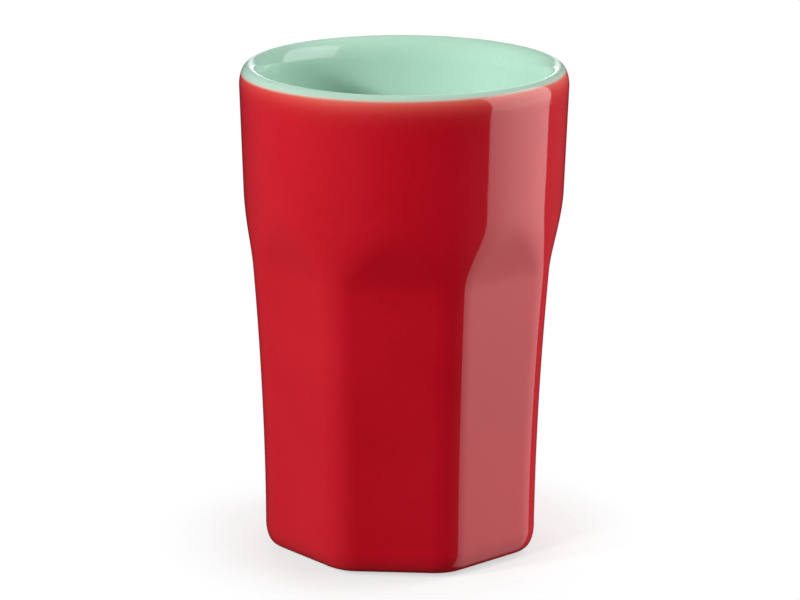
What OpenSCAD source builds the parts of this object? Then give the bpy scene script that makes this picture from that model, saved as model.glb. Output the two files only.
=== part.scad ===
// Tall porcelain beaker with a round rim and a lower wall of soft-cornered flats.
// One cast body carries a coat of glaze outside, a second one inside and over the lip,
// and a patch of glaze under the floor. It stands on a bare foot ring.
// Origin: centre of the foot ring's flat face. +Z runs up the axis. Lengths in millimetres.

/* [Overall] */
// Height from the foot ring to the top of the lip
height = 120; // [100:1:140]
// Diameter at the widest line, where the lip starts
rim_d = 80; // [76:1:90]
// Distance across two opposite flats at the bottom of the wall
flats_w = 66.7; // [60:0.1:70]

/* [Flats] */
// Number of flats round the lower wall
sides = 8; // [8:1:14]
// Radius of the soft corner between two flats
corner_r = 11.5; // [6:0.5:14]
// How far a flat leans out on its way up to the shoulder
flat_lean = 2.65; // [0:0.05:3]
// How late the lean comes: 1 is a straight flat, a higher value starts plumb
lean_power = 1.85; // [1:0.05:3]

/* [Shoulder and rim band] */
// Height of the round band, from the shoulder to the top of the lip
band_h = 30.5; // [20:0.5:40]
// Height over which the flats swell out into the round band
shoulder_h = 17.5; // [12:0.5:26]
// Angle at which the round band opens out towards the rim, in degrees
band_draft = 1.9; // [0:0.1:3]

/* [Lip] */
// Height of the outer rounding of the lip
lip_h = 4.8; // [3:0.1:8]
// Distance from the widest line in to the top of the lip
lip_in = 2.4; // [1.6:0.1:3.2]
// Width over which the inside wall opens out under the lip
flare_w = 3; // [2:0.1:3.6]
// Height over which the inside wall opens out under the lip
flare_h = 6; // [5:0.5:12]

/* [Wall and floor] */
// Wall thickness at the floor, with its glaze
wall_t = 5; // [3.5:0.1:6]
// Floor thickness, with its glaze
floor_t = 5.5; // [4:0.1:8]
// Radius of the corners inside the cup
inner_corner_r = 14; // [11:0.5:18]
// Radius between the floor and the wall inside the cup
floor_r = 8; // [4:0.5:10]

/* [Base] */
// Height of the rounded edge between the wall and the underside
base_edge_h = 5.3; // [3:0.1:8]
// Distance by which that edge draws in
base_edge_in = 2.2; // [1.2:0.1:4]
// Height of the foot ring below the underside
foot_h = 0.9; // [0.5:0.1:2]
// Width of the foot ring
foot_w = 3.5; // [2.5:0.1:6]
// Distance from the base edge's rounding in to the foot ring
foot_inset = 3.1; // [1:0.1:5]
// Bevel along both edges of the foot ring
foot_bevel = 0.3; // [0.1:0.05:0.4]

/* [Glaze] */
// Thickness of each coat
glaze_t = 0.4; // [0.2:0.05:0.5]
// Distance from the top of the lip down to the line where the two coats meet
glaze_line = 1.2; // [0.4:0.1:2.8]
// Bare strip between the glaze and the foot ring
glaze_gap = 0.5; // [0.3:0.1:0.9]

/* [Smoothness] */
// Points along each soft corner
corner_steps = 6; // [3:1:7]
// Steps along each curved stretch of the profile
curve_steps = 5; // [4:1:7]

/* [Hidden] */

// Heights, from the bottom up
underside_z = foot_h + glaze_t;
floor_z = foot_h + floor_t;
base_top_z = foot_h + base_edge_h;
floor_top_z = floor_z + floor_r;
band_z = height - band_h;
shoulder_z = band_z - shoulder_h;
widest_z = height - lip_h;
flare_z = height - flare_h;

// Radii
rim_r = rim_d / 2;
lip_top_r = rim_r - lip_in;
foot_out_r = flats_w / 2 - base_edge_in - foot_inset;
foot_in_r = foot_out_r - foot_w;

// Angle on the lip's outer rounding at which the two coats meet
line_angle = asin((lip_h - glaze_line) / lip_h);
// Wall thickness where the inside wall starts to open out
wall_top_t = lip_in + flare_w + tan(band_draft) * (lip_h - flare_h);
// The foot ring runs this far up into the floor that it is part of
foot_root = 1;
// Sides of what is turned on the axis
round_fn = 96;

clay_white = "#f3efe6";
glaze_red = "#be1e2d";
glaze_mint = "#aed8c2";

// Angle from flat to flat, half the angle between two points of a corner,
// and how much further a sharp corner lies from the axis than a flat
turn = 360 / sides;
half_step = turn / corner_steps / 2;
corner_ratio = 1 / cos(turn / 2);

// A horizontal section is a polygon with equal sides and rounded corners, given by two lengths:
// its apothem, from the axis to a flat, and its reach, from the axis to a corner.
// Where the two are equal the section is a circle.
function reach(apothem, radius) = (apothem - radius) * corner_ratio + radius;

// Points of one section. They stand just outside each corner's arc, so that the sides touch it.
function ring(station) =
    let (apothem = station[1])
    let (radius = (apothem * corner_ratio - station[2]) / (corner_ratio - 1))
    let (centre = (apothem - radius) * corner_ratio)
    let (out = radius / cos(half_step))
    [for (side = [0 : sides - 1], step = [0 : corner_steps - 1])
        let (corner = turn * (side + 0.5))
        let (normal = turn * (side + (step + 0.5) / corner_steps))
        [
            centre * cos(corner) + out * cos(normal),
            centre * sin(corner) + out * sin(normal),
            station[0]
        ]
    ];

// Outline of the outside at a height: flats below, a circle above, mixed across the shoulder
function flat_apothem(z) =
    let (rise = max(z - base_top_z, 0) / (shoulder_z - base_top_z))
    flats_w / 2 + flat_lean * pow(rise, lean_power);

function band_radius(z) = rim_r - tan(band_draft) * (widest_z - z);

function roundness(z) =
    let (t = min(max((z - shoulder_z) / shoulder_h, 0), 1))
    t * t * (3 - 2 * t);

// Station [height, apothem, reach] of a wall that lies a depth inside that outline
function wall_station(z, depth, radius) =
    let (flat = flat_apothem(z) - depth)
    let (round = band_radius(z) - depth)
    let (corner = reach(flat, radius))
    let (mix = roundness(z))
    [z, flat + mix * (round - flat), corner + mix * (round - corner)];

function outer_station(z, depth) = wall_station(z, depth, corner_r - depth);

function inner_station(z, depth) =
    let (share = (flare_z - z) / (flare_z - floor_z))
    let (wall = wall_top_t + share * (wall_t - wall_top_t))
    wall_station(z, wall - depth, inner_corner_r + depth);

// The same section drawn in by a distance, at another height
function drawn_in(station, inset, z) = [z, station[1] - inset, station[2] - inset];

function circle_station(z, radius) = [z, radius, radius];

// Stretches of the profile. A depth of 0 is the glaze's skin, and glaze_t is the clay under it.
function base_edge(depth) =
    let (top = outer_station(base_top_z, depth))
    [for (i = [0 : curve_steps])
        let (angle = 90 - 90 * i / curve_steps)
        drawn_in(
            top,
            (base_edge_in - depth) * (1 - cos(angle)),
            base_top_z - (base_edge_h - depth) * sin(angle)
        )
    ];

function climb(z0, z1, steps) = [for (i = [1 : steps]) z0 + (z1 - z0) * i / steps];

// Heights along a wall, from just above its lower end to the round band
function wall_heights(z0) = concat(
    climb(z0, shoulder_z, curve_steps),
    climb(shoulder_z, band_z, 2 * curve_steps)
);

function lip_arc(angle0, angle1, depth) =
    [for (i = [1 : curve_steps])
        let (angle = angle0 + (angle1 - angle0) * i / curve_steps)
        circle_station(
            widest_z + (lip_h - depth) * sin(angle),
            lip_top_r + (lip_in - depth) * cos(angle)
        )
    ];

function inner_flare(depth) =
    [for (i = [1 : curve_steps])
        let (angle = 90 * i / curve_steps)
        circle_station(
            flare_z + (flare_h - depth) * cos(angle),
            lip_top_r - (flare_w - depth) * sin(angle)
        )
    ];

function floor_corner(depth) =
    let (radius = floor_r + depth)
    let (top = inner_station(floor_top_z, depth))
    [for (i = [1 : curve_steps])
        let (angle = 90 * i / curve_steps)
        drawn_in(top, radius * (1 - cos(angle)), floor_top_z - radius * sin(angle))
    ];

// Outside, from the underside up to the glaze line
function outer_profile(depth) = concat(
    base_edge(depth),
    [for (z = concat(wall_heights(base_top_z), [widest_z])) outer_station(z, depth)],
    lip_arc(0, line_angle, depth)
);

// Inside, from the glaze line over the lip and down to the floor
function inner_profile(depth) = concat(
    [lip_arc(0, line_angle, depth)[curve_steps - 1]],
    lip_arc(line_angle, 90, depth),
    inner_flare(depth),
    reversed([for (z = concat([floor_top_z], wall_heights(floor_top_z))) inner_station(z, depth)]),
    floor_corner(depth)
);

function reversed(list) = [for (i = [len(list) - 1 : -1 : 0]) list[i]];

function without_first(list) = [for (i = [1 : len(list) - 1]) list[i]];

// Solid skinned over a row of stations. The row ends in flat caps, or closes on itself.
module loft(stations, closed = false) {
    count = sides * corner_steps;
    rows = len(stations);
    points = [for (station = stations) each ring(station)];
    bands = [for (row = [0 : closed ? rows - 1 : rows - 2], i = [0 : count - 1])
        let (low = row * count)
        let (high = (row + 1) % rows * count)
        let (next = (i + 1) % count)
        [low + i, high + i, high + next, low + next]
    ];
    around = [for (i = [0 : count - 1]) i];
    caps = [around, [for (i = reversed(around)) (rows - 1) * count + i]];
    polyhedron(points, concat(bands, closed ? [] : caps), convexity = 6);
}

// Bare ring that the beaker stands on, turned in one with the floor
module foot_ring() {
    top = underside_z + foot_root;
    rotate_extrude($fn = round_fn)
        polygon([
            [foot_in_r + foot_bevel, 0],
            [foot_out_r - foot_bevel, 0],
            [foot_out_r, foot_bevel],
            [foot_out_r, top],
            [foot_in_r, top],
            [foot_in_r, foot_bevel]
        ]);
}

module porcelain_body() {
    color(clay_white) {
        loft(concat(outer_profile(glaze_t), without_first(inner_profile(glaze_t))));
        foot_ring();
    }
}

// Red coat. It turns under the base edge and stops short of the foot ring.
module outer_glaze() {
    stop_r = foot_out_r + glaze_gap;
    color(glaze_red)
        loft(
            concat(
                [circle_station(foot_h, stop_r)],
                outer_profile(0),
                reversed(outer_profile(glaze_t)),
                [circle_station(underside_z, stop_r)]
            ),
            closed = true
        );
}

// Mint coat over the floor, the inside wall and the lip
module inner_glaze() {
    color(glaze_mint)
        loft(concat(reversed(inner_profile(glaze_t)), inner_profile(0)));
}

// Red patch in the recess within the foot ring, thinning out at its rim
module base_glaze() {
    patch_r = foot_in_r - glaze_gap;
    color(glaze_red)
        rotate_extrude($fn = round_fn)
            polygon([[0, foot_h], [patch_r - glaze_t, foot_h], [patch_r, underside_z], [0, underside_z]]);
}

porcelain_body();
outer_glaze();
inner_glaze();
base_glaze();
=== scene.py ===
# %% [markdown]
# # A porcelain beaker, red outside and mint inside
# The beaker is cast in one piece: a round rim band, a soft shoulder under it, and eight flats below.
# It could be modelled freehand, but its sizes are already measured in a packed model. So that model
# is loaded first, stays fixed, and every piece below is worked out to fill the same space.

import bpy
import numpy as np
from mathutils import Matrix, Vector


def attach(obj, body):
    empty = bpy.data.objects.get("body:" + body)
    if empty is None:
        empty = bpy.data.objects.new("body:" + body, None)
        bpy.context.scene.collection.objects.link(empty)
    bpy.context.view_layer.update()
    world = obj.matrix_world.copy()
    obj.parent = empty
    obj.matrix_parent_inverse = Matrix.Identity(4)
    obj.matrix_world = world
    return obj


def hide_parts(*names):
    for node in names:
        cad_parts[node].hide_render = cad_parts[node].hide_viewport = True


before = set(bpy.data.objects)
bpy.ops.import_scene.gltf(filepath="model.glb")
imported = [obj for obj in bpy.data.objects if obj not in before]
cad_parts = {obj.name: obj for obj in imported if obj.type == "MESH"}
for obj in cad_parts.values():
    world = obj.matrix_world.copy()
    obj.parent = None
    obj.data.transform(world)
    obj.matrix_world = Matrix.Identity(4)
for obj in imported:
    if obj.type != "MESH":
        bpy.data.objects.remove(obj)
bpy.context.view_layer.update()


print("nodes:", sorted(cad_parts))

# %% [markdown]
# ## Sizes
# The maker's drawing of such a cup is a half profile and a few widths. The same few lengths drive
# the packed model, so they are written here once more, in metres, and each surface is worked out
# from them. A reader can find any of them with calipers on a real cup.

# %% Lengths of the beaker
MM = 0.001
SIDES = 8
HEIGHT, RIM_R = 120 * MM, 40 * MM
FLATS_R, CORNER_R = 33.35 * MM, 11.5 * MM
FLAT_LEAN, LEAN_POWER = 2.65 * MM, 1.85
BAND_Z, SHOULDER_Z = 89.5 * MM, 72 * MM
BAND_SLOPE = np.tan(np.radians(1.9))
LIP_H, LIP_IN = 4.8 * MM, 2.4 * MM
FLARE_H, FLARE_W = 6 * MM, 3 * MM
WALL_T, FLOOR_T = 5 * MM, 5.5 * MM
INNER_CORNER_R, FLOOR_R = 14 * MM, 8 * MM
EDGE_H, EDGE_IN = 5.3 * MM, 2.2 * MM
FOOT_H, FOOT_W = 0.9 * MM, 3.5 * MM
FOOT_INSET, FOOT_BEVEL = 3.1 * MM, 0.3 * MM
GLAZE_T, GLAZE_LINE, GLAZE_GAP = 0.4 * MM, 1.2 * MM, 0.5 * MM
print("height and rim in mm:", HEIGHT / MM, 2 * RIM_R / MM)

# %% Lengths that follow from them
UNDERSIDE_Z = FOOT_H + GLAZE_T
FLOOR_Z = FOOT_H + FLOOR_T
BASE_TOP_Z = FOOT_H + EDGE_H
FLOOR_TOP_Z = FLOOR_Z + FLOOR_R
WIDEST_Z = HEIGHT - LIP_H
FLARE_Z = HEIGHT - FLARE_H
LIP_TOP_R = RIM_R - LIP_IN
FOOT_OUT_R = FLATS_R - EDGE_IN - FOOT_INSET
FOOT_IN_R = FOOT_OUT_R - FOOT_W
WALL_TOP_T = LIP_IN + FLARE_W + BAND_SLOPE * (LIP_H - FLARE_H)
print("wall in mm, under the lip and at the floor:", round(WALL_TOP_T / MM, 2), WALL_T / MM)

# %% [markdown]
# ## Sections
# Cut level, the cup shows an eight-sided figure with rounded corners, which swells into a circle at
# the shoulder. Bevelled boxes could give that, but their corners pinch where the figure turns round.
# So each section is a polar curve: a straight flat, then an arc, given by two lengths, the apothem
# from the axis to a flat and the reach from the axis to a corner. Equal lengths make a circle.

# %% One section as a polar curve
HALF_SIDE = np.pi / SIDES
OUT_TO_CORNER = 1 / np.cos(HALF_SIDE)


def section_radius(angle, apothem, reach):
    """Distance from the axis to the section at an angle.

    The corner's radius follows from apothem and reach. On the flat the distance is the apothem over
    the cosine of the angle from the flat's middle. Past the flat's end it is the far root of a line
    through the axis with the corner's circle.
    """
    corner_r = (apothem * OUT_TO_CORNER - reach) / (OUT_TO_CORNER - 1)
    core = apothem - corner_r
    from_middle = np.abs(angle - np.round(angle / (2 * HALF_SIDE)) * 2 * HALF_SIDE)
    to_corner = HALF_SIDE - from_middle
    flat_end = np.arctan2(core * np.tan(HALF_SIDE), apothem)
    arc_centre = core * OUT_TO_CORNER
    half_chord = np.sqrt(np.maximum(corner_r**2 - (arc_centre * np.sin(to_corner)) ** 2, 0))
    on_arc = arc_centre * np.cos(to_corner) + half_chord
    return np.where(from_middle <= flat_end, apothem / np.cos(from_middle), on_arc)


print("reach of a sharp corner over the apothem:", round(OUT_TO_CORNER, 3))

# %% Angles at which every section is drawn
STEPS_PER_SIDE, CROWDING = 48, 0.5
even = np.arange(STEPS_PER_SIDE) / STEPS_PER_SIDE
crowded = even + CROWDING * np.sin(2 * np.pi * even) / (2 * np.pi)
ANGLES = (2 * HALF_SIDE * (np.arange(SIDES)[:, None] + crowded)).ravel()
print("points round a section:", len(ANGLES), "crowded towards the corners")

# %% [markdown]
# ## Profile of the wall
# A potter would turn a template to this outline. From the base up, a flat starts plumb and leans out,
# the shoulder mixes the flats into the round band with an S-curve, and the band opens a little to the
# rim. A wall that lies deeper, such as the clay under its glaze, is the same outline drawn in.

# %% Rows of the wall


def flat_apothem(z):
    """Axis to flat: the width at the base plus a lean that grows as a power of the height."""
    rise = np.maximum(z - BASE_TOP_Z, 0) / (SHOULDER_Z - BASE_TOP_Z)
    return FLATS_R + FLAT_LEAN * rise**LEAN_POWER


def wall_rows(z, depth, corner_r):
    """Rows of height, apothem and reach for a wall that lies a depth inside the outline.

    Below the shoulder the row is a flat-sided figure, above it a circle that widens in a straight
    line, and across it a mix of the two whose share is the S-curve 3t^2 - 2t^3 of the height.
    """
    flat = flat_apothem(z) - depth
    reach = (flat - corner_r) * OUT_TO_CORNER + corner_r
    round_r = RIM_R - BAND_SLOPE * (WIDEST_Z - z) - depth
    t = np.clip((z - SHOULDER_Z) / (BAND_Z - SHOULDER_Z), 0, 1)
    mix = t * t * (3 - 2 * t)
    return np.stack([z, flat + mix * (round_r - flat), reach + mix * (round_r - reach)], axis=1)


print("flat to flat at the shoulder in mm:", round(2 * flat_apothem(SHOULDER_Z) / MM, 2))

# %% Other rows, and how they are put together


def circle_rows(z, radius):
    """Rows of plain circles, whose apothem and reach are the same."""
    z, radius = np.broadcast_arrays(z, radius)
    return np.stack([z, radius, radius], axis=1).astype(float)


def drawn_in(row, inset, z):
    """One row repeated at other heights, with both its lengths made smaller by an inset."""
    return np.stack([z, row[1] - inset, row[2] - inset], axis=1)


def stacked(*parts):
    """One list of rows from several, with every row given at every angle."""
    return np.concatenate([
        part if part.ndim == 3 else np.repeat(part[:, :, None], len(ANGLES), axis=2) for part in parts
    ])


def sweep(start, end, steps, fine=True):
    """Even steps from start to end, a sixth as many for surfaces that nobody sees."""
    return np.linspace(start, end, (steps if fine else max(steps // 6, 2)) + 1)


print("steps of a fine and of a hidden curve:", len(sweep(0, 1, 24)) - 1, len(sweep(0, 1, 24, False)) - 1)

# %% [markdown]
# ## Outside and inside as lists of rows
# The outside runs from the rounded base edge up to the glaze line, just short of the top of the lip.
# The inside goes on from there: over the lip, down a soft flare, along the wall and round the floor's
# corner to the middle. Both lists can be asked for at the glaze's skin or at the clay below it.
# The line is not level. The lip was dipped by hand, so the mint runs lower on one side.

# %% Glaze line round the lip
LINE_LIFT, LINE_TILT, LINE_DIP = 0.08 * MM, 0.46 * MM, 0.26 * MM
rightward = np.cos(ANGLES)
LINE_DROP = GLAZE_LINE - (LINE_LIFT + LINE_TILT * rightward - LINE_DIP * rightward**4)
LINE_ANGLE = np.arcsin(1 - LINE_DROP / LIP_H)
line_range = np.array([LINE_DROP.min(), LINE_DROP.max()]) / MM
print("glaze line under the top of the lip in mm:", line_range.round(2))


def lip_rows(turn, depth):
    """Ellipse over the lip, from its widest line at no turn to its top at a quarter turn."""
    z = WIDEST_Z + (LIP_H - depth) * np.sin(turn)
    radius = LIP_TOP_R + (LIP_IN - depth) * np.cos(turn)
    return np.stack([z, radius, radius], axis=1)


# %% Outside, from the base edge to the glaze line


def outside_rows(depth, fine=True):
    """Tall quarter ellipse at the base edge, the wall, and an ellipse over the lip up to the line."""
    turn = sweep(np.pi / 2, 0, 20, fine)
    edge_top = wall_rows(np.array([BASE_TOP_Z]), depth, CORNER_R - depth)[0]
    inset, drop = (EDGE_IN - depth) * (1 - np.cos(turn)), (EDGE_H - depth) * np.sin(turn)
    base = drawn_in(edge_top, inset, BASE_TOP_Z - drop)
    heights = np.concatenate([
        sweep(BASE_TOP_Z, SHOULDER_Z, 24, fine)[1:],
        sweep(SHOULDER_Z, BAND_Z, 60, fine)[1:],
        sweep(BAND_Z, WIDEST_Z, 12, fine)[1:],
    ])
    wall = wall_rows(heights, depth, CORNER_R - depth)
    lip = lip_rows(sweep(0, 1, 24, fine)[1:, None] * LINE_ANGLE, depth)
    return stacked(base, wall, lip)


print("rows outside:", len(outside_rows(0)))

# %% Inside, from the glaze line to the middle of the floor
POLE_R = 0.4 * MM


def inside_rows(depth, fine=True):
    """Rest of the lip, a flare that is a tall quarter ellipse, the wall, a quarter circle and the floor.

    The quarter circle keeps its fine steps in every list, because a hollow drawn with few steps would
    come through the glaze that lies on it.
    """
    lip = lip_rows(LINE_ANGLE + sweep(0, 1, 16, fine)[:, None] * (np.pi / 2 - LINE_ANGLE), depth)
    turn = sweep(0, np.pi / 2, 40, fine)[1:]
    flare_z = FLARE_Z + (FLARE_H - depth) * np.cos(turn)
    flare = circle_rows(flare_z, LIP_TOP_R - (FLARE_W - depth) * np.sin(turn))
    heights = np.concatenate([
        sweep(FLARE_Z, BAND_Z, 8, fine)[1:],
        sweep(BAND_Z, SHOULDER_Z, 30, fine)[1:],
        sweep(SHOULDER_Z, FLOOR_TOP_Z, 16, fine)[1:],
    ])
    down = (FLARE_Z - heights) / (FLARE_Z - FLOOR_Z)
    thickness = WALL_TOP_T + down * (WALL_T - WALL_TOP_T)
    wall = wall_rows(heights, thickness - depth, INNER_CORNER_R + depth)
    bend, bend_r = sweep(0, np.pi / 2, 14)[1:], FLOOR_R + depth
    corner = drawn_in(wall[-1], bend_r * (1 - np.cos(bend)), FLOOR_TOP_Z - bend_r * np.sin(bend))
    shrink = sweep(1, POLE_R / corner[-1, 1], 8, fine)[1:, None]
    floor = np.concatenate([np.full_like(shrink, corner[-1, 0]), corner[-1, 1:] * shrink], axis=1)
    return stacked(lip, flare, wall, corner, floor)


print("rows inside:", len(inside_rows(0)))

# %% [markdown]
# ## From rows to a closed skin
# Lathe tools turn one profile into circles only, so the rows are stacked here instead: every row is
# drawn at the same angles and joined to the next by four-sided faces. A list that comes back to its
# start is closed like a tyre, and any other ends in two small flat caps. A number stored at each point
# says how far the nearest edge of its coat lies, because a glaze thins out there; on the red, the paler
# colour near that edge also paints light on the upturned lip.

# %% Skin over a stack of rows
CREASE = np.radians(50)


def along(rows):
    """Length walked up the profile from its first row, at each angle, from heights and apothems."""
    steps = np.hypot(np.diff(rows[:, 0], axis=0), np.diff(rows[:, 1], axis=0))
    return np.concatenate([np.zeros((1, len(ANGLES))), np.cumsum(steps, axis=0)])


def skin(name, rows, edge_gap, closed):
    """Mesh of a stack of rows: point (row, angle) lies at the section's radius, turned by the angle.

    Faces join a row to the next one in the order that makes them point away from the material when
    the rows climb outside and go down inside.
    """
    z, apothem, reach = rows.swapaxes(0, 1)
    radius = section_radius(ANGLES, apothem, reach)
    points = np.stack([radius * np.cos(ANGLES), radius * np.sin(ANGLES), z], axis=2)
    here, count = np.arange(len(ANGLES)), len(ANGLES)
    low = count * np.arange(len(rows) if closed else len(rows) - 1)[:, None]
    high, ahead = (low + count) % (count * len(rows)), (here + 1) % count
    quads = np.stack([low + here, low + ahead, high + ahead, high + here], axis=2).reshape(-1, 4)
    caps = [] if closed else [here[::-1].tolist(), (here + count * (len(rows) - 1)).tolist()]
    mesh = bpy.data.meshes.new(name)
    mesh.from_pydata(points.reshape(-1, 3), [], quads.tolist() + caps)
    gaps = mesh.attributes.new("edge_gap", "FLOAT", "POINT")
    gaps.data.foreach_set("value", np.broadcast_to(edge_gap, z.shape).ravel())
    mesh.shade_smooth()
    mesh.set_sharp_from_angle(angle=CREASE)
    piece = bpy.data.objects.new(name, mesh)
    bpy.context.scene.collection.objects.link(piece)
    print(name, "faces:", len(mesh.polygons))
    return piece


print("edges sharper than", round(np.degrees(CREASE)), "degrees stay crisp")

# %% [markdown]
# ## The clay body
# The cup is cast porcelain, and only its foot ring stays bare, because a glazed foot would stick to
# the kiln shelf. The body could be left as the packed solid, but its ring is seen from below, so it is
# drawn again: underside, foot ring with two small bevels, then outside and inside. The glaze hides the
# last two, so they get few rows.

# %% Clay body with its foot ring
foot_path = np.array([
    [UNDERSIDE_Z, POLE_R],
    [UNDERSIDE_Z, FOOT_IN_R],
    [FOOT_BEVEL, FOOT_IN_R],
    [0, FOOT_IN_R + FOOT_BEVEL],
    [0, FOOT_OUT_R - FOOT_BEVEL],
    [FOOT_BEVEL, FOOT_OUT_R],
    [UNDERSIDE_Z, FOOT_OUT_R],
])
clay_outside, clay_inside = outside_rows(GLAZE_T, fine=False), inside_rows(GLAZE_T, fine=False)
clay_rows = stacked(circle_rows(*foot_path.T), clay_outside, clay_inside[1:])
clay = skin("porcelain_clay", clay_rows, 0.0, closed=False)

# %% [markdown]
# ## The red coat
# The outer glaze is a skin of glass less than half a millimetre thick. It starts in a rounded bead
# beside the foot ring, wraps the base edge, climbs the wall and ends at the glaze line. It gets its
# own thickness, with a back that follows the clay, so that it is a real shell and not a painted face.

# %% Red coat outside
STOP_R = FOOT_OUT_R + GLAZE_GAP
FAR_FROM_EDGE = 20 * MM
BEAD_TURN = sweep(0, np.pi / 2, 6)
bead_z = UNDERSIDE_Z - GLAZE_T * np.sin(BEAD_TURN)
bead = circle_rows(bead_z, STOP_R + GLAZE_T * (1 - np.cos(BEAD_TURN)))
red_front = stacked(bead, outside_rows(0))
red_back = clay_outside[::-1]
walked = along(red_front)
hidden = np.full_like(red_back[:, 0], FAR_FROM_EDGE)
red_gap = np.concatenate([np.minimum(walked, walked[-1] - walked), hidden])
red_coat = skin("red_coat", np.concatenate([red_front, red_back]), red_gap, closed=True)

# %% [markdown]
# ## The mint coat
# The inner glaze covers the floor and the inside wall, rolls over the lip and meets the red just
# outside it. It starts from the same points as the red coat ends, so no gap can open at the line.

# %% Mint coat inside and over the lip
mint_front = inside_rows(0)
mint_back = clay_inside[::-1]
mint_gap = np.concatenate([np.full_like(mint_back[:, 0], FAR_FROM_EDGE), along(mint_front)])
mint_coat = skin("mint_coat", np.concatenate([mint_back, mint_front]), mint_gap, closed=False)

# %% [markdown]
# ## The coat under the floor
# In the shallow hollow within the foot ring lies a patch of the same red glaze, which runs thin at
# its rim. It is turned as a flat disc with a rounded edge.

# %% Red patch in the foot's hollow
PATCH_R = FOOT_IN_R - GLAZE_GAP
patch_under = circle_rows(FOOT_H, sweep(POLE_R, PATCH_R - GLAZE_T, 12))
patch_edge_z = UNDERSIDE_Z - GLAZE_T * np.cos(BEAD_TURN)
patch_edge = circle_rows(patch_edge_z, PATCH_R - GLAZE_T * (1 - np.sin(BEAD_TURN)))[1:]
patch_over = circle_rows(UNDERSIDE_Z, [POLE_R])
patch_rows = stacked(patch_under, patch_edge, patch_over)
patch_gap = np.maximum(PATCH_R - patch_rows[:, 1], 0)
red_patch = skin("red_patch", patch_rows, patch_gap, closed=False)

# %% [markdown]
# ## Pieces on the frame
# Each new piece stands for one packed solid, which is hidden, and moves with the beaker's one body.
# The finish that it will show is printed beside it.

# %% Hand the pieces to the frame
for piece, node, slot in (
    (clay, "porcelain_body", "bare_porcelain"),
    (red_coat, "outer_glaze", "red_glaze"),
    (mint_coat, "inner_glaze", "mint_glaze"),
    (red_patch, "base_glaze", "red_glaze"),
):
    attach(piece, "root")
    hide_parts(node)
    print(piece.name, "stands for", node, "in", slot)

# %% [markdown]
# ## A short way to write shader maths
# Node graphs get long when they are drawn by hand, and hard to read when they are coded link by link.
# A small class around one socket lets the maths be written as sums and products, each of which adds a
# Math node, and one method makes any other node.

# %% Sockets with arithmetic


def ramp_stops(ramp, stops):
    """Sets a colour ramp to a list of (place, grey) stops."""
    while len(ramp.elements) < len(stops):
        ramp.elements.new(1.0)
    for element, (position, grey) in zip(ramp.elements, stops):
        element.position, element.color = position, (grey, grey, grey, 1)


class Wire:
    """One output socket of a node tree. Sums, differences and products of wires are Math nodes."""

    def __init__(self, tree, socket=None):
        self.tree, self.socket = tree, socket

    def node(self, kind, settings, sockets, out=0):
        """Any node: its type, its settings, the values or wires of its inputs, and the output to use."""
        made = self.tree.nodes.new("ShaderNode" + kind)
        for name, value in settings.items():
            if name == "stops":
                ramp_stops(made.color_ramp, value)
            else:
                setattr(made, name, value)
        for key, value in sockets.items():
            if isinstance(value, Wire):
                self.tree.links.new(value.socket, made.inputs[key])
            else:
                made.inputs[key].default_value = value
        return Wire(self.tree, made.outputs[out] if len(made.outputs) else None)

    def math(self, operation, *terms):
        """A Math node on wires and numbers."""
        return self.node("Math", {"operation": operation}, dict(enumerate(terms)))

    def __add__(self, other):
        return self.math("ADD", self, other)

    __radd__ = __add__

    def __sub__(self, other):
        return self.math("SUBTRACT", self, other)

    def __rsub__(self, other):
        return self.math("SUBTRACT", other, self)

    def __mul__(self, other):
        return self.math("MULTIPLY", self, other)

    __rmul__ = __mul__

    def between(self, low, high):
        """Soft step from 0 at low to 1 at high."""
        ends = {"Value": self, "From Min": low, "From Max": high}
        return self.node("MapRange", {"interpolation_type": "SMOOTHSTEP"}, ends)

    def blend(self, first, second):
        """Mix of two colours, with this wire as the second one's share."""
        return self.node("Mix", {"data_type": "RGBA"}, {0: self, 6: first, 7: second}, 2)

    def noise(self, size, detail=2.0):
        """Cloudy pattern with blobs of about a size in metres, from 0 to 1 with most of it near a half."""
        return self.node("TexNoise", {}, {"Vector": self, "Scale": 1 / size, "Detail": detail})

    def length(self):
        """Distance of a place from the origin."""
        return self.node("VectorMath", {"operation": "LENGTH"}, {0: self}, "Value")

    def part(self, axis):
        """One coordinate of a vector, named X, Y or Z."""
        return self.node("SeparateXYZ", {}, {0: self}, axis)


def new_material(name):
    """An empty material's wire, and the material itself."""
    material = bpy.data.materials.new(name)
    material.use_nodes = True
    material.node_tree.nodes.clear()
    return Wire(material.node_tree), material


def surface(wire, shader):
    """Links a shader to the material's output."""
    wire.node("OutputMaterial", {}, {"Surface": shader})


print("a wire can:", [name for name in vars(Wire) if not name.startswith("_")])

# %% [markdown]
# ## The glazes
# A glaze is coloured glass over white clay. Seen close, its tone drifts a little, it is faintly
# mottled, bubbles leave small pits that look paler or darker, and it runs thinner at its edges so that
# the ground shows through. On the red, that paler edge is also a painted highlight on the upturned lip,
# weaker at the left of the cup. A single colour with a gloss would look like plastic. So both glazes
# share one recipe with those marks, and differ in their colours and in how strongly they show them.

# %% Pits left by bubbles
PIT_SPACING = 1.6 * MM
PIT_CORE, PIT_SMALL, PIT_GROWTH = 0.02, 0.1, 0.16
BARE_SHARE, PALE_FROM, CUT = 0.35, 0.49, 0.02


def pits(place):
    """Round dots of several sizes in some cells of a cellular pattern, and which of them are pale.

    A dot fades from 1 at its middle to 0 at a radius that its cell's random colour gives, in shares of
    the spacing. Two more numbers from that colour leave some cells bare and make half the dots pale.
    """
    cells = {"Vector": place, "Scale": 1 / PIT_SPACING}
    to_middle = place.node("TexVoronoi", {}, cells, "Distance")
    lot = place.node("TexVoronoi", {}, cells, "Color")
    chance, kind, size = (
        place.node("SeparateColor", {}, {0: lot}, channel) for channel in ("Red", "Green", "Blue")
    )
    dot = 1 - to_middle.between(PIT_CORE, PIT_SMALL + PIT_GROWTH * size)
    return dot * chance.between(BARE_SHARE, BARE_SHARE + CUT), kind.between(PALE_FROM, PALE_FROM + CUT)


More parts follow.
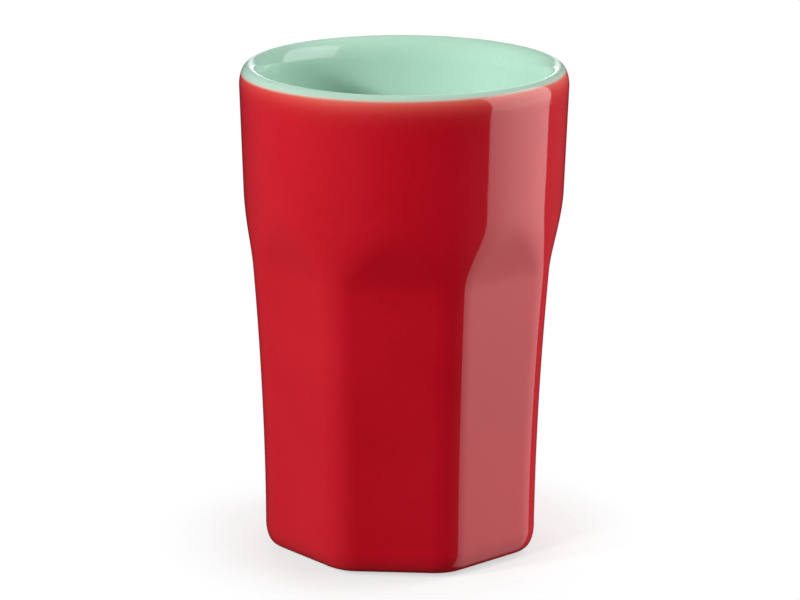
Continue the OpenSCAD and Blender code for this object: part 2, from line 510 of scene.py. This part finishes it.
print("pits: one cell in", round(PIT_SPACING / MM, 2), "mm")

# %% One recipe for both glazes
DRIFT, MOTTLE, UNEVEN, SWELL, RIPPLE = 30 * MM, 1.6 * MM, 2.5 * MM, 14 * MM, 1.1 * MM
DRIFT_SHARE, MOTTLE_SHARE = 0.7, 0.3
CLOUD_LOW, CLOUD_HIGH = 0.3, 0.7
EDGE_WAVE = 0.5
MICRON = 0.001 * MM
SWELL_HEIGHT, RIPPLE_HEIGHT = 25, 0.5
ROUGH, ROUGH_MOTTLE, ROUGH_PIT = 0.05, 0.03, 0.1
# Painted light: between these x the red's painted lip highlight grows from its weak share at the lamp-lit
# left.
LIT_LEFT_X, LIT_LEFT_END_X = -36 * MM, -12 * MM
GLASS_IOR = 1.5


def glaze(
    name, deep, bright, thin_and_lit_colour, edge, edge_width, thin_and_lit_left, thin_and_lit_right, thin_and_lit_reach, pit_change, pit_depth
):
    """Glossy coat: deep to bright in drifts, paler near its edge, and dotted with pits.

    Near the edge the colour turns to the pale colour, whose share falls off as the exponential of the
    distance to the coat's edge over its reach, from the left share at the left of the cup to the right
    share elsewhere. That is partly a thinner glaze and partly painted light: on the red it is a painted
    highlight on the upturned lip, weaker at the left, where the front-left lamps light the lip. The edge
    colour holds within about edge_width. A pit scales the colour down by pit_change or up by twice that.
    """
    wire, material = new_material(name)
    place = wire.node("TexCoord", {}, {}, "Object")
    gap = wire.node("Attribute", {"attribute_name": "edge_gap"}, {}, "Fac")
    mottle = place.noise(MOTTLE, 3)
    pit, pale = pits(place)
    tone = (DRIFT_SHARE * place.noise(DRIFT) + MOTTLE_SHARE * mottle).between(CLOUD_LOW, CLOUD_HIGH)
    # Painted light: the red's pale edge colour also paints a highlight on the upturned lip, less on the
    # lamp-lit left.
    from_lit_left = place.part("X").between(LIT_LEFT_X, LIT_LEFT_END_X)
    thin_and_lit_share = thin_and_lit_left + (thin_and_lit_right - thin_and_lit_left) * from_lit_left
    thin_and_lit_amount = thin_and_lit_share * wire.math("EXPONENT", gap * (-1 / thin_and_lit_reach))
    colour = thin_and_lit_amount.blend(tone.blend(deep, bright), thin_and_lit_colour)
    wavy_gap = gap + (place.noise(UNEVEN) - 0.5) * (EDGE_WAVE * edge_width)
    colour = wavy_gap.between(0, edge_width).blend(edge, colour)
    lighter = 1 + pit_change * pit * (3 * pale - 1)
    colour = wire.node("VectorMath", {"operation": "SCALE"}, {0: colour, "Scale": lighter})
    rough = ROUGH + ROUGH_MOTTLE * mottle + ROUGH_PIT * pit
    height = SWELL_HEIGHT * place.noise(SWELL) + RIPPLE_HEIGHT * place.noise(RIPPLE) - pit_depth * pit
    relief = wire.node("Bump", {}, {"Distance": MICRON, "Height": height})
    coat = {"Base Color": colour, "Roughness": rough, "IOR": GLASS_IOR, "Normal": relief}
    surface(wire, wire.node("BsdfPrincipled", {}, coat))
    return material


print("swell of the glaze in microns:", SWELL_HEIGHT)

# %% Red and mint
red_glaze = glaze(
    "red_glaze",
    deep=(0.50, 0.003, 0.012, 1),
    bright=(0.545, 0.005, 0.016, 1),
    # Partly a thinner glaze, partly a painted highlight on the upturned lip, painted weaker at the
    # lamp-lit left.
    thin_and_lit_colour=(0.78, 0.21, 0.15, 1),
    edge=(0.50, 0.37, 0.30, 1),
    edge_width=0.5 * MM,
    thin_and_lit_left=0.33,
    thin_and_lit_right=0.78,
    thin_and_lit_reach=1.5 * MM,
    pit_change=0.13,
    pit_depth=12,
)
mint_glaze = glaze(
    "mint_glaze",
    deep=(0.414, 0.645, 0.521, 1),
    bright=(0.45, 0.683, 0.562, 1),
    thin_and_lit_colour=(0.36, 0.43, 0.36, 1),
    edge=(0.60, 0.50, 0.42, 1),
    edge_width=0.65 * MM,
    thin_and_lit_left=0.4,
    thin_and_lit_right=0.4,
    thin_and_lit_reach=1.6 * MM,
    pit_change=0.05,
    pit_depth=4,
)
for piece, finish in ((red_coat, red_glaze), (mint_coat, mint_glaze), (red_patch, red_glaze)):
    piece.data.materials.append(finish)
    print(piece.name, "wears", finish.name)

# %% [markdown]
# ## The bare foot ring
# Where it is bare, porcelain is a warm white, matt and fine grained, and the ring is rubbed smooth on
# a turning disc, which leaves faint circles. Noise gives the grain, and the distance from the axis
# gives the circles.

# %% Bare porcelain
GRAIN, CLOUD, CIRCLE_GAP = 0.35 * MM, 9 * MM, 0.45 * MM
RUBBED_RELIEF, GRAIN_HEIGHT, RIDGE_HEIGHT = 0.01 * MM, 2, 0.4
CIRCLE_WOBBLE, DUST_SHARE, DUST_LOW, DUST_HIGH = 6, 0.35, 0.66, 0.72
MATT, MATT_GRAIN = 0.7, 0.15


def rubbed_clay(name, shade, light, dust):
    """Matt clay: cloudy from shade to light, specks of dust, and ridges that are a sine of the radius."""
    wire, material = new_material(name)
    place = wire.node("TexCoord", {}, {}, "Object")
    grain, cloud = place.noise(GRAIN, 4), place.noise(CLOUD)
    ridges = wire.math("SINE", place.length() * (2 * np.pi / CIRCLE_GAP) + CIRCLE_WOBBLE * cloud)
    colour = cloud.between(CLOUD_LOW, CLOUD_HIGH).blend(shade, light)
    colour = (DUST_SHARE * grain.between(DUST_LOW, DUST_HIGH)).blend(colour, dust)
    height = GRAIN_HEIGHT * grain + RIDGE_HEIGHT * ridges
    relief = wire.node("Bump", {}, {"Distance": RUBBED_RELIEF, "Height": height})
    matt = {"Base Color": colour, "Roughness": MATT + MATT_GRAIN * grain, "Normal": relief}
    surface(wire, wire.node("BsdfPrincipled", {}, matt))
    return material


bare_porcelain = rubbed_clay(
    "bare_porcelain", shade=(0.74, 0.70, 0.62, 1), light=(0.82, 0.79, 0.72, 1), dust=(0.45, 0.40, 0.33, 1)
)
clay.data.materials.append(bare_porcelain)
print(clay.name, "shows", bare_porcelain.name)

# %% [markdown]
# ## Camera
# The photograph is taken with a long lens from a little above the rim. Its place was found by fitting
# the rim and the outline, so here it is only set: how far round, how high, how far off, and a trace of
# tilt to one side.

# %% Camera at the photograph's viewing angle
TURN, RISE, TILT = np.radians([3.33, 15.51, 0.2924])
DISTANCE, SIDEWAYS, AIM_Z = 778.21 * MM, -0.749 * MM, 60.734 * MM
FOCAL_PX, IMAGE_W, SENSOR_W = 3151.84, 800, 36
right = np.array([np.cos(TURN), np.sin(TURN), 0])
back = np.array([np.sin(TURN) * np.cos(RISE), -np.cos(TURN) * np.cos(RISE), np.sin(RISE)])
up = np.cross(back, right)
lens_right = right * np.cos(TILT) + up * np.sin(TILT)
lens_up = up * np.cos(TILT) - right * np.sin(TILT)
eye = right * SIDEWAYS + np.array([0, 0, AIM_Z]) + back * DISTANCE
camera_data = bpy.data.cameras.new("camera")
camera_data.sensor_width, camera_data.lens = SENSOR_W, FOCAL_PX * SENSOR_W / IMAGE_W
camera = bpy.data.objects.new("camera", camera_data)
lens_axes = np.stack([lens_right, lens_up, back, eye], axis=1)
camera.matrix_world = Matrix(np.vstack([lens_axes, [0, 0, 0, 1]]))
bpy.context.scene.collection.objects.link(camera)
bpy.context.scene.camera = camera
print("eye in mm:", (eye / MM).round(1), "lens in mm:", round(camera_data.lens, 1))

# %% [markdown]
# ## Light tent
# A glazed cup is mostly seen by what it mirrors. Here it stands in a dim tent that glows softly on its
# left and right, which only the turning edges of the red wall mirror. One even world would lay a grey
# veil over the red, so the glow is a ramp along one axis. The camera itself sees plain white all
# round, which lights nothing, and gloss mirrors that white only straight behind the cup.

# %% World
WHITE = (1, 1, 1, 1)
TENT_AXIS = -80, 0
TENT_LEVELS = [(-1, 0.2), (-0.4, 0.02), (0.1, 0.02), (0.5, 0.07), (0.8, 0.16), (1, 0.21)]
BACKDROP_INNER, BACKDROP_OUTER = np.cos(np.radians([5, 9]))


def heading(azimuth, elevation):
    """Unit vector for an azimuth, from the camera's side and positive to the right, and an elevation."""
    turn, rise = np.radians(azimuth) + TURN, np.radians(elevation)
    return np.array([np.sin(turn) * np.cos(rise), -np.cos(turn) * np.cos(rise), np.sin(rise)])


def tent(axis, levels):
    """World whose brightness is a ramp of a direction's cosine to an axis, and white to the camera.

    A mirrored ray sees the same white within a few degrees of the way that the camera looks.
    """
    world = bpy.data.worlds.new("light_tent")
    bpy.context.scene.world = world
    world.use_nodes = True
    world.node_tree.nodes.clear()
    wire = Wire(world.node_tree)
    way = wire.node("TexCoord", {}, {}, "Generated")
    cosine = wire.node("VectorMath", {"operation": "DOT_PRODUCT"}, {0: way, 1: axis}, "Value")
    stops = [((level_at + 1) / 2, level) for level_at, level in levels]
    glow = wire.node("ValToRGB", {"stops": stops}, {0: cosine * 0.5 + 0.5})
    seen, glossy, through = (
        wire.node("LightPath", {}, {}, f"Is {kind} Ray") for kind in ("Camera", "Glossy", "Transmission")
    )
    to_backdrop = wire.node("VectorMath", {"operation": "DOT_PRODUCT"}, {0: way, 1: -back}, "Value")
    behind = to_backdrop.between(BACKDROP_OUTER, BACKDROP_INNER)
    white_share = seen + wire.math("MAXIMUM", glossy, through) * behind
    sky = wire.node("Background", {}, {"Color": white_share.blend(glow, WHITE), "Strength": 1.0})
    wire.node("OutputWorld", {}, {"Surface": sky})


tent(heading(*TENT_AXIS), TENT_LEVELS)
print("tent: brightest towards", heading(*TENT_AXIS).round(2))

# %% [markdown]
# ## Lamps
# A tall panel on the right gives the long pale streak on the red wall. Its face is graded, because the
# streak dims towards the foot and at both sides. Two small lamps at the front left model the flats and
# light the inside on the right, a soft one on the right fills the rest of it, and a low one behind
# lights the lip. A strip close behind shows only in the gloss, as white crescents at the ends of the rim
# that run out in a thin line. Each lamp is set by how bright its face is, so that a colour renders about
# as it is written.

# %% A lamp, and a lamp with a graded face


def panel(name, centre, aim, size, brightness):
    """Rectangular lamp whose face has a brightness, which is its power over pi and its area."""
    lamp = bpy.data.lights.new(name, "AREA")
    lamp.shape = "RECTANGLE"
    lamp.size, lamp.size_y = size
    lamp.energy = brightness * np.pi * size[0] * size[1]
    holder = bpy.data.objects.new(name, lamp)
    holder.location = centre
    holder.rotation_euler = Vector(aim - np.asarray(centre)).to_track_quat("-Z", "Y").to_euler()
    holder.visible_camera = False
    bpy.context.scene.collection.objects.link(holder)
    print(name, "power in W:", round(lamp.energy, 2))
    return holder


def grade(holder, across, upward):
    """Lets the brightness of a lamp's face change from side to side and from its bottom to its top."""
    holder.data.use_nodes = True
    holder.data.node_tree.nodes.clear()
    wire = Wire(holder.data.node_tree)
    face = wire.node("NewGeometry", {}, {}, "Parametric")
    sideways = wire.node("ValToRGB", {"stops": across}, {0: face.part("X")})
    upwards = wire.node("ValToRGB", {"stops": upward}, {0: face.part("Y")})
    glow = wire.node("Emission", {}, {"Color": sideways * upwards})
    wire.node("OutputLight", {}, {"Surface": glow})


print("a lamp of one square metre at brightness 1 takes", round(np.pi, 2), "W")

# %% Panel on the right
SIDE_X, SIDE_FRONT, SIDE_REAR, SIDE_LOW, SIDE_HIGH = 0.458, -0.231, 0.275, -0.6, 0.52
SIDE_BRIGHTNESS = 3.3
FRONT_TO_REAR = [(0, 0.77), (0.24, 0.92), (0.36, 1), (0.6, 0.94), (0.8, 0.85), (1, 0.73)]
LOW_TO_HIGH = [(0, 0.18), (0.36, 0.39), (0.44, 0.535), (0.49, 0.67), (0.54, 0.75), (0.61, 1), (1, 1)]
side_centre = np.array([SIDE_X, (SIDE_FRONT + SIDE_REAR) / 2, (SIDE_LOW + SIDE_HIGH) / 2])
side_aim = side_centre * (0, 1, 1)
side_size = SIDE_REAR - SIDE_FRONT, SIDE_HIGH - SIDE_LOW
side_panel = panel("side_panel", side_centre, side_aim, side_size, SIDE_BRIGHTNESS)
grade(side_panel, FRONT_TO_REAR, LOW_TO_HIGH)

# %% Four lamps that the glaze doesn't mirror
MIDDLE = np.array([0, 0, HEIGHT / 2])
NEAR, AWAY = 0.8, 1.2
SMALL, SOFT, WIDE = (0.08, 0.08), (0.5, 0.5), (1.1, 0.9)
for name, way, distance, size, brightness in (
    ("key_lamp", heading(-43, 22), NEAR, SMALL, 184),
    ("second_lamp", heading(-60, 30), NEAR, SMALL, 160),
    ("fill_lamp", heading(112, 45), AWAY, SOFT, 5.4),
    ("rear_lamp", heading(180, 22), AWAY, WIDE, 3.8),
):
    panel(name, MIDDLE + distance * way, MIDDLE, size, brightness).visible_glossy = False

# %% Strip that only the gloss shows
STRIP_AWAY, STRIP_W, STRIP_LOW, STRIP_HIGH = 0.6, 0.28, 0.036, 0.28
STRIP_BRIGHTNESS = 3.0
END_TO_END = [(0, 0), (0.3, 0.8), (0.4, 1), (0.6, 1), (0.7, 0.8), (1, 0)]
BOTTOM_TO_TOP = [(0, 0.35), (0.3, 0.35), (0.36, 1), (0.48, 1), (0.62, 0.5), (1, 0.36)]
strip_centre = STRIP_AWAY * heading(180, 0) + np.array([0, 0, (STRIP_LOW + STRIP_HIGH) / 2])
strip_size = STRIP_W, STRIP_HIGH - STRIP_LOW
rear_strip = panel("rear_strip", strip_centre, strip_centre * (0, 0, 1), strip_size, STRIP_BRIGHTNESS)
rear_strip.visible_diffuse = False
grade(rear_strip, END_TO_END, BOTTOM_TO_TOP)

# %% [markdown]
# ## Floor
# Under the cup lies a small pale floor that keeps the soft shadow and fades out into the white. A wide
# floor would end in a horizon. It is not mirrored and throws no light back, so the red stays clean
# down to the foot.

# %% Pale floor that fades out
FADE_FROM, FADE_TO = 34 * MM, 64 * MM
FLOOR_DROP, FLOOR_COVER, FLOOR_GREY = 0.05 * MM, 0.42, 0.8


def fading_floor(name, grey):
    """Matt floor whose cover falls from its full share to none between two distances from the axis."""
    wire, material = new_material(name)
    from_axis = wire.node("TexCoord", {}, {}, "Object").length()
    matt = wire.node("BsdfDiffuse", {}, {"Color": (grey, grey, grey, 1)})
    clear = wire.node("BsdfTransparent", {}, {})
    cover = FLOOR_COVER * (1 - from_axis.between(FADE_FROM, FADE_TO))
    surface(wire, wire.node("MixShader", {}, {0: cover, 1: clear, 2: matt}))
    return material


corners = FADE_TO * np.array([(-1, -1, 0), (1, -1, 0), (1, 1, 0), (-1, 1, 0)]) - (0, 0, FLOOR_DROP)
floor_mesh = bpy.data.meshes.new("pale_floor")
floor_mesh.from_pydata(corners, [], [(0, 1, 2, 3)])
floor_mesh.materials.append(fading_floor("pale_floor", FLOOR_GREY))
floor = bpy.data.objects.new("pale_floor", floor_mesh)
floor.visible_glossy = floor.visible_diffuse = False
bpy.context.scene.collection.objects.link(floor)
print("floor fades from", FADE_FROM / MM, "to", FADE_TO / MM, "mm")

# %% [markdown]
# ## Finish
# Colours are shown as they are, without a film look.

# %% Colours
bpy.context.scene.view_settings.view_transform = "Standard"
